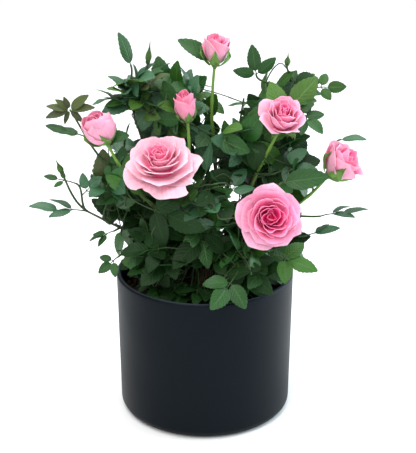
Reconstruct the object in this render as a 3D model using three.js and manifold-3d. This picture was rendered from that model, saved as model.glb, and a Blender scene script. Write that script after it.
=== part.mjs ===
// A miniature rose bush in bloom, planted in a plain round matte black pot.
// Millimetres, +Z up. The origin is the centre of the pot's flat underside and -Y is the front.
//
// The plant is an assembly: a short woody stem on the soil, twelve canes that fork from it, a solid
// for each of the seven rose heads, uneven leaf masses that make up the crown, and small leaf sprays
// that carry its outline out to the furthest tips.

import * as THREE from "three";
import { mergeVertices } from "three/addons/utils/BufferGeometryUtils.js";
import Module from "manifold-3d";

const wasm = await Module();
wasm.setup();

// ---------------------------------------------------------------- driving dimensions

const GAP = 0.35; // clearance left wherever two pieces meet
const LEAF_GAP = 0.8; // the same between leaf masses, whose surfaces are rougher
const SMOOTH = { limb: 0.1, leaf: 0.35 }; // detail smaller than this is merged away

const POT = {
  height: 108,
  rimRadius: 65,
  footRadius: 63.3,
  wall: 3.6,
  floor: 6,
  corner: 7.5, // round of the outer bottom edge
  lip: 1.8, // round of the rim
  sides: 32,
};
const SOIL = { belowRim: 13, mound: 5, sides: 20 };
const STEM = { height: 20, footRadius: 8.5, neckRadius: 5.2, lean: 2, sides: 10 };
const CANE = {
  sides: 5,
  steps: 6,
  baseRadius: 2.4,
  headRadius: 1.3, // where it carries a rose
  leafRadius: 1, // where it ends in leaves
  forkRise: 6, // it leaves the stem this far below the stem's head
  forkReach: 3,
  spread: 0.45, // how far it leans out while it climbs, as a share of the climb
  bend: 0.42, // length of its last bend, as a share of its whole reach
};
// A rose head's outline, from its receptacle up, in shares of its radius and its depth.
const BLOOM = {
  sides: 9,
  outline: [[0.16, 0], [0.23, 0.1], [0.72, 0.34], [1, 0.72], [0.86, 0.93], [0.45, 1], [0, 1]],
};

// Rose heads: where each one's receptacle sits, the way it faces, and its width and depth.
// neck is the way its cane arrives, rise how far the cane climbs straight up before it bends over.
const BLOOMS = [
  { name: "front_left", at: [-30, -36, 194], facing: [-0.05, -0.47, 0.88], width: 55, depth: 26,
    neck: [0.1, -0.35, 0.93], rise: 46 },
  { name: "front_right", at: [44, -43, 164], facing: [0.08, -0.92, 0.38], width: 47, depth: 26,
    neck: [0.2, -0.6, 0.77], rise: 34 },
  { name: "upper_right", at: [53, -4, 217], facing: [0.14, -0.52, 0.84], width: 34, depth: 24,
    neck: [0.42, -0.05, 0.9], rise: 48 },
  { name: "right", at: [88, -3, 181], facing: [0.66, -0.18, 0.73], width: 32, depth: 29,
    neck: [0.6, 0, 0.8], rise: 20 },
  { name: "top", at: [7, 14, 257], facing: [0.1, -0.12, 0.98], width: 22, depth: 26,
    neck: [0.12, 0, 1], rise: 70 },
  { name: "upper_centre", at: [-12, -6, 222], facing: [-0.12, -0.1, 0.98], width: 18, depth: 25,
    neck: [-0.1, 0, 1], rise: 60 },
  { name: "left", at: [-68, -14, 209], facing: [-0.42, -0.24, 0.87], width: 26, depth: 27,
    neck: [-0.36, -0.05, 0.93], rise: 40 },
];

// Leaf masses of the crown, each centred on its point and reaching size to either side of it.
const MASSES = [
  { name: "low_front_left", centre: [-33, -34, 129], size: [30, 22, 21] },
  { name: "low_front_right", centre: [26, -36, 127], size: [31, 22, 20] },
  { name: "low_left", centre: [-56, 4, 137], size: [21, 28, 23] },
  { name: "low_right", centre: [53, -2, 133], size: [24, 28, 21] },
  { name: "low_back_left", centre: [-34, 50, 134], size: [32, 31, 25] },
  { name: "low_back_right", centre: [34, 50, 134], size: [32, 31, 25] },
  { name: "mid_front", centre: [2, -32, 168], size: [31, 19, 18] },
  { name: "mid_left", centre: [-66, -8, 179], size: [26, 24, 23] },
  { name: "mid_right", centre: [61, 0, 181], size: [24, 24, 24] },
  { name: "mid_back_left", centre: [-40, 53, 182], size: [38, 31, 27] },
  { name: "mid_back_right", centre: [40, 53, 180], size: [38, 31, 27] },
  { name: "high_left", centre: [-53, 12, 234], size: [24, 23, 24] },
  { name: "high_centre", centre: [-17, 12, 235], size: [21, 22, 25] },
  { name: "high_middle", centre: [20, 8, 213], size: [25, 22, 31] },
  { name: "high_right", centre: [60, 20, 236], size: [25, 20, 18] },
  { name: "high_back_left", centre: [-29, 54, 226], size: [33, 26, 25] },
  { name: "high_back_right", centre: [29, 54, 222], size: [33, 26, 25] },
];

// Leaf sprays, from the point where the leaf stalk starts to its furthest leaf tip. pairs counts
// the pairs of leaflets beside the end one; a spray with none is an unopened bud on its stalk.
const SPRAYS = [
  { name: "top_left", root: [-51, 18, 253], tip: [-62, 20, 280], width: 20, pairs: 1 },
  { name: "bud_top_left", root: [-42, 10, 250], tip: [-38, 10, 277], width: 7, pairs: 0 },
  { name: "top_bloom", root: [4, 16, 261], tip: [-17, 15, 277], width: 20, pairs: 1 },
  { name: "top_right_leaf", root: [42, 22, 240], tip: [33, 25, 270], width: 24, pairs: 1 },
  { name: "bud_top_right", root: [57, 16, 244], tip: [59, 15, 267], width: 6, pairs: 0 },
  { name: "right_high", root: [72, 18, 236], tip: [101, 20, 240], width: 38, pairs: 2 },
  { name: "right_upper", root: [66, 6, 227], tip: [83, -2, 212], width: 26, pairs: 1 },
  { name: "right_front", root: [55, -27, 185], tip: [86, -26, 189], width: 30, pairs: 1 },
  { name: "right_tip", root: [98, 14, 203], tip: [116, 12, 204], width: 14, pairs: 1 },
  { name: "right_far", root: [84, -2, 150], tip: [118, 0, 153], width: 20, pairs: 1 },
  { name: "right_low", root: [74, -8, 137], tip: [97, -9, 144], width: 18, pairs: 1 },
  { name: "low_right", root: [48, -46, 136], tip: [78, -55, 130], width: 38, pairs: 2 },
  { name: "front", root: [22, -57, 127], tip: [4, -74, 108], width: 38, pairs: 2 },
  { name: "low_left", root: [-52, -32, 132], tip: [-74, -46, 124], width: 26, pairs: 1 },
  { name: "left_far", root: [-84, -8, 156], tip: [-126, -10, 159], width: 26, pairs: 2 },
  { name: "left_inner", root: [-65, -16, 144], tip: [-82, -22, 138], width: 16, pairs: 1 },
  { name: "left_bud", root: [-88, -10, 177], tip: [-114, -10, 184], width: 34, pairs: 2 },
  { name: "left_shoot", root: [-83, -2, 221], tip: [-112, 0, 242], width: 24, pairs: 1 },
  { name: "left_mid", root: [-84, -6, 211], tip: [-112, -4, 218], width: 18, pairs: 1 },
  { name: "back_high", root: [-22, 78, 206], tip: [-36, 100, 216], width: 30, pairs: 1 },
  { name: "back_low", root: [24, 76, 150], tip: [38, 99, 146], width: 30, pairs: 1 },
];

// Leaf masses: how many lobes each one has, how far and how sharply they stand out, and how
// unevenly they are spread.
const MASS = { lobes: 9, swell: 0.55, sharpness: 9, scatter: 0.9, detail: 2 };

// Leaflets: their outline runs from the stalk to the tip, in shares of their length and breadth.
const LEAFLET = {
  outline: [[0, 0], [0.3, -0.5], [0.7, -0.4], [1, 0], [0.7, 0.4], [0.3, 0.5]],
  thickness: 3.2,
  stalk: 1.3, // half the width of the leaf's stalk
  breadth: 0.62, // share of a leaflet's length
  slant: 60, // degrees between the side leaflets and the leaf's stalk
  end: 0.52, // where along the leaf the end leaflet starts
  outerPair: 0.52, // where the pair beside it starts
  innerPair: 0.24,
  onlyPair: 0.37,
  innerReach: 0.85, // the inner pair's length, as a share of the outer pair's
};
const LEAVES_FACE = new THREE.Vector3(0, -0.85, 0.53);

// An unopened bud's outline on its stalk, in shares of its radius and the spray's length.
const BUD = { stalk: 1, stalkEnd: 0.38, outline: [[1, 0.52], [0.8, 0.74], [0, 1]] };

// Leafy canes: the piece each one ends in, its way of arriving there, and its climb from the fork.
const LEAFY_CANES = [
  { name: "low_left", into: "left_far", neck: [-0.85, 0, 0.5], rise: 14 },
  { name: "high_left", into: "high_left", neck: [-0.2, 0, 0.98], rise: 50 },
  { name: "high_right", into: "high_right", neck: [0.35, 0.1, 0.93], rise: 50 },
  { name: "back_left", into: "high_back_left", neck: [-0.15, 0.25, 0.95], rise: 44 },
  { name: "back_right", into: "high_back_right", neck: [0.15, 0.25, 0.95], rise: 44 },
];

const LOOKS = {
  pot: { color: 0x24282d, roughness: 0.5, metalness: 0 },
  soil: { color: 0x1d140e, roughness: 1, metalness: 0 },
  wood: { color: 0x4f3d26, roughness: 0.85, metalness: 0 },
  cane: { color: 0x47702c, roughness: 0.6, metalness: 0 },
  leaf: { color: 0x235229, roughness: 0.5, metalness: 0 },
  petal: { color: 0xf0a0bf, roughness: 0.65, metalness: 0 },
};

// ---------------------------------------------------------------- solids and booleans

function solidOf(geometry) {
  const bare = geometry.clone();
  bare.deleteAttribute("normal");
  bare.deleteAttribute("uv");
  const merged = mergeVertices(bare, 1e-4);
  return new wasm.Manifold(
    new wasm.Mesh({
      numProp: 3,
      vertProperties: merged.attributes.position.array,
      triVerts: new Uint32Array(merged.index.array),
    }),
  );
}

function geometryOf(solid) {
  const mesh = solid.getMesh();
  const geometry = new THREE.BufferGeometry();
  geometry.setAttribute("position", new THREE.BufferAttribute(mesh.vertProperties, 3));
  geometry.setIndex(new THREE.BufferAttribute(mesh.triVerts, 1));
  geometry.computeVertexNormals();
  return geometry;
}

// What is left of a solid once its cutters are taken away: only its largest body is kept.
function cutBy(solid, cutters, smooth) {
  const left = cutters.reduce((kept, cutter) => kept.subtract(cutter), solid).simplify(smooth);
  return left.decompose().reduce((a, b) => (b.volume() > a.volume() ? b : a));
}

function meshOf(name, geometry, look) {
  const mesh = new THREE.Mesh(geometry, new THREE.MeshStandardMaterial(LOOKS[look]));
  mesh.name = name;
  return mesh;
}

function vector(values) {
  return new THREE.Vector3(...values);
}

// Numbers from 0 to 1, the same on every run for the same seed.
function randomNumbers(seed) {
  let state = seed * 7919 + 17;
  return () => {
    state = (state * 48271) % 2147483647;
    return state / 2147483647;
  };
}

// ---------------------------------------------------------------- pot and soil

function revolved(profile, sides) {
  const points = profile.map(([radius, height]) => new THREE.Vector2(radius, height));
  return new THREE.LatheGeometry(points, sides).rotateX(Math.PI / 2);
}

// Points on a circle's arc in a profile, from one angle to another in degrees.
function arc(centreRadius, centreHeight, radius, from, to, steps) {
  return Array.from({ length: steps + 1 }, (_, i) => {
    const angle = THREE.MathUtils.degToRad(from + ((to - from) * i) / steps);
    return [centreRadius + radius * Math.cos(angle), centreHeight + radius * Math.sin(angle)];
  });
}

// The pot's outer radius at a height: it widens evenly from its foot to its rim.
function potRadius(height) {
  return THREE.MathUtils.lerp(POT.footRadius, POT.rimRadius, height / POT.height);
}

function potGeometry() {
  const inner = POT.corner - POT.wall;
  return revolved(
    [
      [0, 0],
      ...arc(POT.footRadius - POT.corner, POT.corner, POT.corner, -90, 0, 4),
      ...arc(POT.rimRadius - POT.lip, POT.height - POT.lip, POT.lip, 0, 180, 3),
      ...arc(potRadius(POT.floor) - POT.wall - inner, POT.floor + inner, inner, 0, -90, 2),
      [0, POT.floor],
    ],
    POT.sides,
  );
}

const SOIL_TOP = POT.height - SOIL.belowRim;

function soilGeometry() {
  const edge = SOIL_TOP - SOIL.mound;
  const base = POT.floor + POT.corner;
  const radius = (height) => potRadius(height) - POT.wall - 2 * GAP;
  return revolved(
    [
      [0, POT.floor + GAP],
      [radius(base) - POT.corner, POT.floor + GAP],
      [radius(base), base],
      [radius(edge), edge],
      [radius(edge) * 0.55, SOIL_TOP - 1],
      [STEM.footRadius + 2, SOIL_TOP],
      [0, SOIL_TOP],
    ],
    SOIL.sides,
  );
}

// ---------------------------------------------------------------- stem and canes

// A limb along a curve: a closed tube whose radius follows a function of the share travelled.
function limbGeometry(curve, radiusAt, sides, steps) {
  const { normals, binormals } = curve.computeFrenetFrames(steps);
  const positions = [];
  const indices = [];
  for (let step = 0; step <= steps; step++) {
    const share = step / steps;
    const centre = curve.getPointAt(share);
    for (let side = 0; side < sides; side++) {
      const turn = (side / sides) * 2 * Math.PI;
      const point = centre
        .clone()
        .addScaledVector(normals[step], radiusAt(share) * Math.cos(turn))
        .addScaledVector(binormals[step], radiusAt(share) * Math.sin(turn));
      positions.push(...point.toArray());
    }
  }
  for (let step = 0; step < steps; step++) {
    for (let side = 0; side < sides; side++) {
      const next = (side + 1) % sides;
      const [a, b] = [step * sides + side, step * sides + next];
      indices.push(a, b, a + sides, b, b + sides, a + sides);
    }
  }
  const last = steps * sides;
  for (let side = 1; side < sides - 1; side++) {
    indices.push(0, side + 1, side);
    indices.push(last, last + side, last + side + 1);
  }
  const geometry = new THREE.BufferGeometry();
  geometry.setAttribute("position", new THREE.Float32BufferAttribute(positions, 3));
  geometry.setIndex(indices);
  return geometry;
}

const STEM_FOOT = SOIL_TOP + GAP;
const STEM_TOP = new THREE.Vector3(STEM.lean, -STEM.lean / 2, STEM_FOOT + STEM.height);

// A revolved stem, widest at its flat foot where the root flare meets the soil, then sheared to lean.
function stemGeometry(extra = 0) {
  const flare = (share) => (STEM.footRadius - STEM.neckRadius) * Math.exp(-5 * share);
  const side = [0, 0.15, 0.35, 0.65, 1].map((share) => [
    STEM.neckRadius + flare(share) + extra,
    share * (STEM.height + 2 * extra) - extra,
  ]);
  const profile = [[0, -extra], ...side, [0, STEM.height + extra]];
  const leaning = new THREE.Matrix4().makeShear(
    0, 0, 0, 0, STEM_TOP.x / STEM.height, STEM_TOP.y / STEM.height,
  );
  return revolved(profile, STEM.sides).applyMatrix4(leaning).translate(0, 0, STEM_FOOT);
}

// A cane leaves the stem's head towards its tip, climbs, and bends over to arrive along its neck.
function caneCurve(tip, neck, rise) {
  const outward = new THREE.Vector3(tip.x, tip.y, 0).normalize();
  const base = STEM_TOP.clone().addScaledVector(outward, CANE.forkReach);
  base.z -= CANE.forkRise;
  const climb = base.clone().addScaledVector(outward, rise * CANE.spread);
  climb.z += rise;
  const run = tip.distanceTo(base) * CANE.bend;
  const approach = tip.clone().addScaledVector(neck.clone().normalize(), -run);
  return new THREE.CubicBezierCurve3(base, climb, approach, tip);
}

function caneGeometry(curve, tipRadius) {
  const radiusAt = (share) => THREE.MathUtils.lerp(CANE.baseRadius, tipRadius, share);
  return limbGeometry(curve, radiusAt, CANE.sides, CANE.steps);
}

// The square channel a cane runs in, clear of it on every side.
function caneChannel(curve, tipRadius) {
  const radiusAt = (share) => {
    const clear = THREE.MathUtils.lerp(CANE.baseRadius, tipRadius, share) + GAP;
    return clear * Math.SQRT2;
  };
  return limbGeometry(curve, radiusAt, 4, CANE.steps);
}

// ---------------------------------------------------------------- rose heads

// A rose head: a receptacle that swells into a cup with a full, rounded heart.
function bloomGeometry({ width, depth }, extra = 0) {
  const cup = BLOOM.outline.map(([across, along]) => [
    across === 0 ? 0 : (across * width) / 2 + extra,
    depth * along + extra * (2 * along - 1),
  ]);
  return revolved([[0, -extra], ...cup], BLOOM.sides);
}

function bloomPose({ at, facing }) {
  const turn = new THREE.Quaternion().setFromUnitVectors(
    new THREE.Vector3(0, 0, 1),
    vector(facing).normalize(),
  );
  return new THREE.Matrix4().compose(vector(at), turn, new THREE.Vector3(1, 1, 1));
}

// ---------------------------------------------------------------- leaf masses and sprays

// A sphere that swells along its lobes, stretched to reach its half sizes on every side.
function lumpGeometry(halfSize, lobes) {
  const sphere = new THREE.IcosahedronGeometry(1, MASS.detail);
  sphere.deleteAttribute("normal");
  sphere.deleteAttribute("uv");
  const geometry = mergeVertices(sphere, 1e-4);
  const position = geometry.attributes.position;
  const point = new THREE.Vector3();
  for (let i = 0; i < position.count; i++) {
    point.fromBufferAttribute(position, i).normalize();
    const swell = lobes.reduce(
      (sum, lobe) => sum + Math.exp(MASS.sharpness * (point.dot(lobe) - 1)),
      0,
    );
    point.multiplyScalar(1 + MASS.swell * Math.min(swell, 1));
    position.setXYZ(i, ...point.toArray());
  }
  geometry.computeBoundingBox();
  const box = geometry.boundingBox;
  const middle = box.getCenter(new THREE.Vector3());
  const span = box.getSize(new THREE.Vector3());
  geometry.translate(-middle.x, -middle.y, -middle.z);
  return geometry.scale(...halfSize.map((half, i) => (2 * half) / span.getComponent(i)));
}

// Directions spread evenly over a sphere, each then pushed aside by chance.
function scatteredLobes(count, seed) {
  const random = randomNumbers(seed);
  const golden = Math.PI * (3 - Math.sqrt(5));
  return Array.from({ length: count }, (_, i) => {
    const height = 1 - (2 * (i + 0.5)) / count;
    const radius = Math.sqrt(1 - height * height);
    const lobe = new THREE.Vector3(
      radius * Math.cos(golden * i),
      radius * Math.sin(golden * i),
      height,
    );
    const push = new THREE.Vector3(random() - 0.5, random() - 0.5, random() - 0.5);
    return lobe.addScaledVector(push, MASS.scatter).normalize();
  });
}

function massSolid({ centre, size }, index, extra) {
  const half = size.map((s) => s + extra);
  const lobes = scatteredLobes(MASS.lobes, index + 1);
  return solidOf(lumpGeometry(half, lobes).translate(...centre));
}

// A leaflet's outline from its stalk end to its tip, turned by an angle in degrees.
function leafletOutline(base, length, breadth, degrees) {
  const angle = THREE.MathUtils.degToRad(degrees);
  const [cos, sin] = [Math.cos(angle), Math.sin(angle)];
  return LEAFLET.outline.map(([along, across]) => [
    base + length * along * cos - breadth * across * sin,
    length * along * sin + breadth * across * cos,
  ]);
}

// The outline of a whole leaf that grows along +X: a stalk, an end leaflet and its side pairs.
function leafOutline(length, width, pairs) {
  const { slant, stalk } = LEAFLET;
  const start = length * LEAFLET.end;
  const reach = width / 2 / Math.sin(THREE.MathUtils.degToRad(slant));
  const breadth = Math.min(length - start, reach) * LEAFLET.breadth;
  const pairsOf = (share, long) => [
    leafletOutline(length * share, long, breadth, slant),
    leafletOutline(length * share, long, breadth, -slant),
  ];
  const stalkEnd = start + breadth / 3;
  const outlines = [
    [[0, -stalk], [stalkEnd, -stalk], [stalkEnd, stalk], [0, stalk]],
    leafletOutline(start, length - start, breadth, 0),
    ...pairsOf(pairs === 1 ? LEAFLET.onlyPair : LEAFLET.outerPair, reach),
    ...(pairs === 2 ? pairsOf(LEAFLET.innerPair, reach * LEAFLET.innerReach) : []),
  ];
  return wasm.CrossSection.union(outlines.map((outline) => new wasm.CrossSection([outline])));
}

// A bud on its stalk along +Z, with the long sepals drawn out to a tip.
function budGeometry(length, width, extra) {
  const stalk = BUD.stalk + extra;
  const bud = BUD.outline.map(([across, along]) => [
    across === 0 ? 0 : (across * width) / 2 + extra,
    along * length + (along === 1 ? extra : 0),
  ]);
  return revolved([[0, -extra], [stalk, -extra], [stalk, length * BUD.stalkEnd], ...bud], CANE.sides);
}

// Leaves turn their broad side to the front and above.
function spraySolid({ root, tip, width, pairs }, extra) {
  const x = vector(tip).sub(vector(root));
  const length = x.length();
  x.normalize();
  const y = LEAVES_FACE.clone().cross(x).normalize();
  const z = x.clone().cross(y);
  if (pairs === 0) {
    const pose = new THREE.Matrix4().makeBasis(y, z, x).setPosition(vector(root));
    return solidOf(budGeometry(length, width, extra).applyMatrix4(pose));
  }
  const thickness = LEAFLET.thickness + 2 * extra;
  const pose = new THREE.Matrix4()
    .makeBasis(x, y, z)
    .setPosition(vector(root).addScaledVector(z, -thickness / 2));
  return leafOutline(length, width, pairs)
    .offset(extra, "Miter")
    .extrude(thickness)
    .transform(pose.toArray());
}

// ---------------------------------------------------------------- assembly

const rose = new THREE.Group();
rose.add(meshOf("pot", potGeometry(), "pot"));
rose.add(meshOf("soil", soilGeometry(), "soil"));
rose.add(meshOf("stem", stemGeometry(), "wood"));

// Everything a leaf has to keep clear of, each a little larger than it is.
const solidPot = revolved(
  [
    [0, -GAP],
    [POT.rimRadius + GAP, -GAP],
    [POT.rimRadius + GAP, POT.height + GAP],
    [POT.rimRadius - POT.wall - GAP, POT.height + GAP],
    [POT.rimRadius - POT.wall - GAP, SOIL_TOP + GAP],
    [0, SOIL_TOP + GAP],
  ],
  POT.sides,
);
const stemSpace = solidOf(stemGeometry(GAP));
const keepOut = [solidOf(solidPot), stemSpace];

// Rose heads and the canes under them. Later canes fork clear of earlier ones.
const caneSpaces = [];
function addCane(name, curve, tipRadius, headSpace) {
  const cane = solidOf(caneGeometry(curve, tipRadius));
  const cut = cutBy(cane, [stemSpace, ...caneSpaces, headSpace], SMOOTH.limb);
  rose.add(meshOf(name, geometryOf(cut), "cane"));
  caneSpaces.push(solidOf(caneChannel(curve, tipRadius)));
}

for (const bloom of BLOOMS) {
  const pose = bloomPose(bloom);
  const head = meshOf(`rose_${bloom.name}`, bloomGeometry(bloom), "petal");
  head.applyMatrix4(pose);
  rose.add(head);
  const space = solidOf(bloomGeometry(bloom, GAP).applyMatrix4(pose));
  const curve = caneCurve(vector(bloom.at), vector(bloom.neck), bloom.rise);
  addCane(`cane_${bloom.name}`, curve, CANE.headRadius, space);
  keepOut.push(space);
}

// Leafy canes end where they enter their own mass or spray.
const pieces = [
  ...MASSES.map((mass, index) => ({
    name: mass.name,
    node: `leaves_${mass.name}`,
    middle: vector(mass.centre),
    make: (extra) => massSolid(mass, index, extra),
  })),
  ...SPRAYS.map((spray) => ({
    name: spray.name,
    node: `spray_${spray.name}`,
    middle: vector(spray.root),
    make: (extra) => spraySolid(spray, extra),
  })),
];
for (const { name, into, neck, rise } of LEAFY_CANES) {
  const piece = pieces.find((candidate) => candidate.name === into);
  const curve = caneCurve(piece.middle, vector(neck), rise);
  addCane(`cane_${name}_leafy`, curve, CANE.leafRadius, piece.make(LEAF_GAP));
}

// Leaves give way to canes, rose heads and the pot, and each mass to the ones made before it.
for (const { node, make } of pieces) {
  const leaves = cutBy(make(0), [...keepOut, ...caneSpaces], SMOOTH.leaf);
  rose.add(meshOf(node, geometryOf(leaves), "leaf"));
  keepOut.push(make(LEAF_GAP));
}

export default rose;
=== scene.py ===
"""A miniature rose in bloom in a matt black pot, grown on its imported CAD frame.

Metres, +Z up, -Y the front. Roses, leaves, twigs and pot are meshes made here by seeded rules; their
places and sizes come from the CAD nodes that they replace.
"""

import math
import random

import bpy
import numpy as np
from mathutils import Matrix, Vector
from mathutils.bvhtree import BVHTree
from numpy.linalg import norm


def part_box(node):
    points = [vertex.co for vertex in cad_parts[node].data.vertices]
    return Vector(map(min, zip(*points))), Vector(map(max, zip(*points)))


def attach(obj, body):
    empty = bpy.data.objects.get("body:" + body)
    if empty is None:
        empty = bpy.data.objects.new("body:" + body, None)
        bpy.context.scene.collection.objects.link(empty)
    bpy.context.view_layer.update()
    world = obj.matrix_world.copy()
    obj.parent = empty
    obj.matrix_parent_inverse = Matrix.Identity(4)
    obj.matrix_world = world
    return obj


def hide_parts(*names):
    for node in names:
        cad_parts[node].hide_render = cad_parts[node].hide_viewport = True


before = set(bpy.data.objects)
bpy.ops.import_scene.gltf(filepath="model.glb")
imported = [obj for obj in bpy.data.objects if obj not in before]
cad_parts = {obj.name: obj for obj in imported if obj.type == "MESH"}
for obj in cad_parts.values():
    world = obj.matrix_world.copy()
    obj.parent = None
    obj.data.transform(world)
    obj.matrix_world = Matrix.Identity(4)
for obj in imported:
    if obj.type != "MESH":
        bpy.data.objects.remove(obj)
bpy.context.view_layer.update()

MM = 0.001
GOLDEN = math.radians(137.5)
UP = np.array((0.0, 0.0, 1.0))
CROWN_MIDDLE = np.array((0.0, 8 * MM, 158 * MM))  # the outer leaves grow away from here
VIEW_ELEVATION = math.radians(21.4)
WHOLE_TILE = (0, 0, 1, 1)  # the whole UV square, as (u, v, width, height)

# ------------------------------------------------------------------------------ small vector tools


def unit(vector):
    vector = np.asarray(vector, float)
    return vector / max(norm(vector), 1e-12)


def turned(vector, axis, angle):
    """vector turned about a unit axis by an angle in radians."""
    cos, sin = math.cos(angle), math.sin(angle)
    return vector * cos + np.cross(axis, vector) * sin + axis * (axis @ vector) * (1 - cos)


def square_to(vector, axis):
    """The part of vector at right angles to a unit axis, as a unit vector."""
    across = vector - axis * (axis @ vector)
    if norm(across) < 1e-6:
        across = np.cross(axis, (1.0, 0.3, 0.2))
    return unit(across)


def smooth(x):
    x = np.clip(x, 0, 1)
    return x * x * (3 - 2 * x)


def bezier(a, b, c, d, count):
    t = np.linspace(0, 1, count)[:, None]
    return (1 - t) ** 3 * a + 3 * (1 - t) ** 2 * t * b + 3 * (1 - t) * t**2 * c + t**3 * d


def put_in_scene(name, data):
    thing = bpy.data.objects.new(name, data)
    bpy.context.collection.objects.link(thing)
    return thing


def corners_of(node):
    """A CAD node's vertices."""
    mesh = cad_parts[node].data
    co = np.zeros(len(mesh.vertices) * 3)
    mesh.vertices.foreach_get("co", co)
    return co.reshape(-1, 3)


# ------------------------------------------------------------------------------ gathering meshes


class Pile:
    """Many small sheets and tubes gathered into one mesh."""

    def __init__(self):
        self.points, self.maps, self.loops, self.sizes, self.count = [], [], [], [], 0

    def add(self, points, faces, uv):
        """Adds points (n, 3), faces (m, 3 or 4) and uv (n, 2)."""
        self.points.append(points)
        self.maps.append(uv)
        self.loops.append((faces + self.count).ravel())
        self.sizes.append(np.full(len(faces), faces.shape[1]))
        self.count += len(points)

    def piece(self, name, material, slot, nodes=()):
        """The mesh as an object that rides on the root and stands for these CAD nodes."""
        loops, sizes = np.concatenate(self.loops), np.concatenate(self.sizes)
        mesh = bpy.data.meshes.new(name)
        mesh.vertices.add(self.count)
        mesh.vertices.foreach_set("co", np.concatenate(self.points).ravel())
        mesh.loops.add(len(loops))
        mesh.loops.foreach_set("vertex_index", loops)
        mesh.polygons.add(len(sizes))
        mesh.polygons.foreach_set("loop_start", np.concatenate(([0], np.cumsum(sizes)[:-1])))
        mesh.update(calc_edges=True)
        mesh.uv_layers.new(name="OFBake").data.foreach_set(
            "uv", np.concatenate(self.maps)[loops].ravel()
        )
        mesh.shade_smooth()
        mesh.validate()
        mesh.materials.append(material)
        thing = put_in_scene(name, mesh)
        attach(thing, "root")
        if nodes:
            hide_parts(*nodes)


def grid_faces(rows, columns):
    """Quads over a grid of points stored row by row. Their front is on the side of row x column."""
    first = (np.arange(rows - 1)[:, None] * columns + np.arange(columns - 1)[None, :]).ravel()
    return np.stack((first, first + columns, first + columns + 1, first + 1), 1)


def spread_uv(across, along, tile):
    """UV places of a grid's points, from their shares across and along a (u, v, width, height) tile."""
    u, v = np.meshgrid(across, along)
    u0, v0, width, height = tile
    return np.stack((u0 + width * u, v0 + height * v), 2).reshape(-1, 2)


def even_uv(rows, columns, tile=WHOLE_TILE):
    return spread_uv(np.linspace(0, 1, columns), np.linspace(0, 1, rows), tile)


def add_sheet(pile, grid, thickness, tile):
    """A closed thin sheet round a (rows, columns, 3) grid: the left half of its tile is the upper
    face and the right half the lower one."""
    rows, columns, _ = grid.shape
    normal = np.cross(np.gradient(grid, axis=0), np.gradient(grid, axis=1))
    normal /= np.maximum(norm(normal, axis=2, keepdims=True), 1e-12)
    offset = normal * thickness / 2
    faces = grid_faces(rows, columns)
    upper_uv = spread_uv(np.linspace(0.02, 0.48, columns), np.linspace(0.01, 0.99, rows), tile)
    lower_uv = upper_uv + (tile[2] / 2, 0)
    upper, lower = (grid + offset).reshape(-1, 3), (grid - offset).reshape(-1, 3)
    pile.add(upper, faces, upper_uv)
    pile.add(lower, faces[:, ::-1], lower_uv)
    index = np.arange(rows * columns).reshape(rows, columns)
    ring = np.concatenate((index[:-1, 0], index[-1, :-1], index[:0:-1, -1], index[0, :0:-1]))
    count = len(ring)
    here = np.arange(count)
    after = (here + 1) % count
    rim = np.stack((here, here + count, after + count, after), 1)
    pile.add(np.concatenate((upper[ring], lower[ring])), rim, np.tile(upper_uv[ring], (2, 1)))


def add_tube(pile, path, radii, sides, tile):
    """A closed round tube along a path of points. Its tile runs round it, and along it."""
    count = len(path)
    ahead = np.gradient(path, axis=0)
    ahead /= np.maximum(norm(ahead, axis=1, keepdims=True), 1e-12)
    side = square_to(np.array((0.31, 0.95, 0.11)), ahead[0])
    rings = np.zeros((count, sides + 1, 3))
    turn = np.linspace(0, math.tau, sides + 1)[:, None]
    for i in range(count):
        side = square_to(side, ahead[i])
        other = np.cross(ahead[i], side)
        rings[i] = path[i] + radii[i] * (np.cos(turn) * side + np.sin(turn) * other)
    uv = even_uv(count, sides + 1, tile)
    pile.add(rings.reshape(-1, 3), grid_faces(count, sides + 1)[:, ::-1], uv)
    first = np.arange(1, sides + 1)
    fan = np.stack((0 * first, first, first + 1), 1)
    for end, order in ((0, -1), (count - 1, 1)):
        edge = uv.reshape(count, sides + 1, 2)[end]
        points = np.concatenate((path[end][None], rings[end]))
        pile.add(points, fan[:, ::order], np.concatenate((edge[:1], edge)))


def scaled(outline, radius, height):
    return [(across * radius, along * height) for across, along in outline]


def add_lathe(pile, profile, sides, tile=WHOLE_TILE, place=None):
    """A surface of revolution from (radius, height) points, listed from the bottom's middle."""
    profile = np.array(profile, float)
    turn = np.linspace(0, math.tau, sides + 1)
    points = np.zeros((len(profile), sides + 1, 3))
    points[:, :, 0] = profile[:, :1] * np.cos(turn)
    points[:, :, 1] = profile[:, :1] * np.sin(turn)
    points[:, :, 2] = profile[:, 1:]
    if place is not None:
        points = place(points)
    lengths = np.concatenate(([0], np.cumsum(norm(np.diff(profile, axis=0), axis=1))))
    uv = spread_uv(turn / math.tau, lengths / lengths[-1], tile)
    pile.add(points.reshape(-1, 3), grid_faces(len(profile), sides + 1)[:, ::-1], uv)


# ------------------------------------------------------------------------------ materials


class Value:
    """A node's output. Sums of it with numbers and other values make Math nodes."""

    def __init__(self, graph, socket):
        self.graph, self.socket = graph, socket

    def __add__(self, other):
        return self.graph.math("ADD", self, other)

    def __sub__(self, other):
        return self.graph.math("SUBTRACT", self, other)

    def __rsub__(self, other):
        return self.graph.math("SUBTRACT", other, self)

    def __mul__(self, other):
        return self.graph.math("MULTIPLY", self, other)

    def __abs__(self):
        return self.graph.math("ABSOLUTE", self)


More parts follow.
